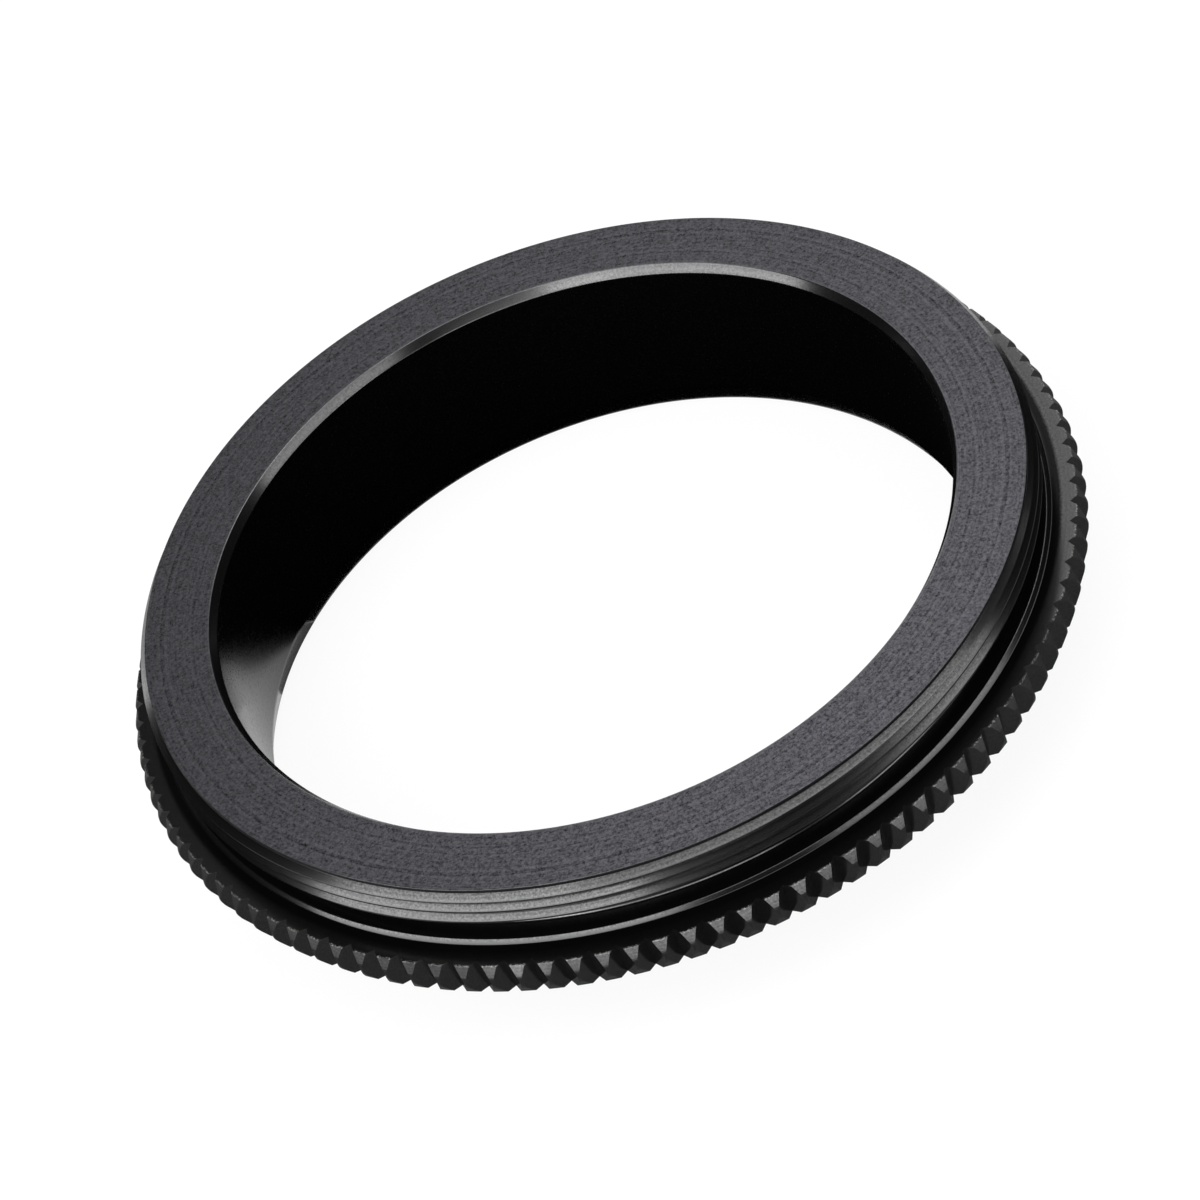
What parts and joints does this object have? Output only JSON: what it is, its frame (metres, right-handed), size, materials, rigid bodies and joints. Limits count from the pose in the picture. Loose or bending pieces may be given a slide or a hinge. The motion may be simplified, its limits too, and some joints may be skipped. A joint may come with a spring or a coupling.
{
  "type": "telescope thread adapter",
  "caption": "Turned aluminium adapter ring with a larger and a smaller male thread, run-out grooves, a straight-knurled grip flange between them and an open bore for the light path.",
  "frame": {"origin": "on the optical axis, at the end face of the smaller thread, on which the ring stands", "axes": "+Z along the optical axis, from the smaller thread to the larger one; X and Y are free, one knurl groove lies on +X"},
  "size_m": [0.0514, 0.0514, 0.0105],
  "materials": {
    "black_anodised": "satin black anodised"
  },
  "bodies": {
    "root": {"adapter_ring": "black_anodised"}
  },
  "joints": []
}
